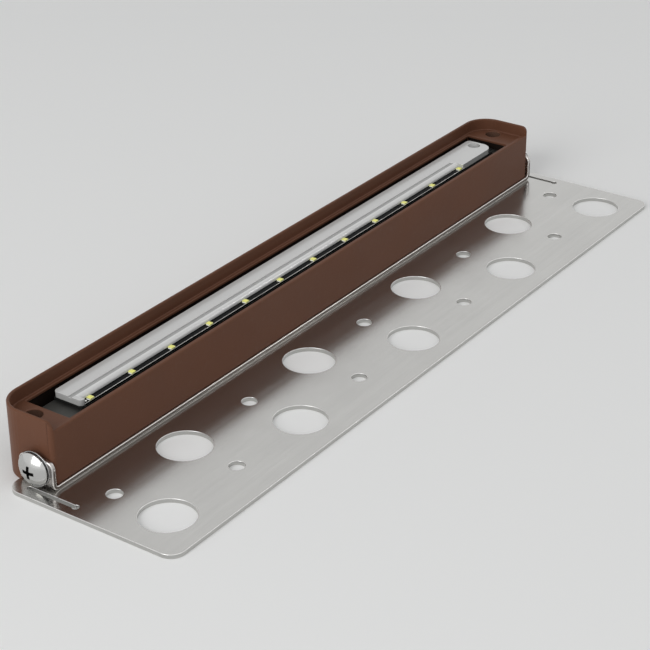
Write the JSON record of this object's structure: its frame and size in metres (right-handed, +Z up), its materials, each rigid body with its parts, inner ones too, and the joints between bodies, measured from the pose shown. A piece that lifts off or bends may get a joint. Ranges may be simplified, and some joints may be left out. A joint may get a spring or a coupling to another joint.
{
  "type": "landscape light",
  "caption": "Slim brown hardscape light with a glare lip and a row of diodes, screwed to a steel cradle on a punched flat mounting plate.",
  "frame": {"origin": "middle of the part's footprint, on the surface that the mounting plate lies on", "axes": "+X along the light, towards its plain lens end; +Y from the free edge of the plate towards the light; +Z up from the plate towards the glare lip"},
  "size_m": [0.3048, 0.0782, 0.0252],
  "materials": {
    "plate_steel": "satin",
    "strip_steel": "satin",
    "brown_coat": "fine powder coat",
    "lens_white": "frosted",
    "black_pad": "matt",
    "board_black": "matt solder mask",
    "led_yellow": "gloss",
    "heat_grey": "matt",
    "screw_steel": "plain",
    "board_green": "satin solder mask",
    "terminal_green": "gloss",
    "chip_black": "matt",
    "can_sleeve": "gloss",
    "ferrite_grey": "matt",
    "lead_red": "gloss",
    "rubber_black": "matt",
    "screw_bright": "bright",
    "washer_steel": "bright",
    "insert_brass": "plain"
  },
  "bodies": {
    "root": {"mounting_plate": "plate_steel", "cradle": "strip_steel", "housing": "brown_coat", "lens": "lens_white", "lens_pad": "black_pad", "led_board": "board_black", "leds": "led_yellow", "heat_plate": "heat_grey", "heat_plate_screws": "screw_steel", "driver_board": "board_green", "driver_board_screws": "screw_steel", "terminal_block": "terminal_green", "bridge_rectifier": "chip_black", "input_capacitor": "can_sleeve", "output_capacitor": "can_sleeve", "inductor": "ferrite_grey", "driver_chip": "chip_black", "supply_leads": "lead_red", "led_leads": "lead_red", "cable_bush": "rubber_black", "near_end_screw": "screw_bright", "far_end_screw": "screw_bright", "near_lock_washer": "washer_steel", "far_lock_washer": "washer_steel", "near_flat_washer": "washer_steel", "far_flat_washer": "washer_steel", "near_insert": "insert_brass", "far_insert": "insert_brass"}
  },
  "joints": []
}
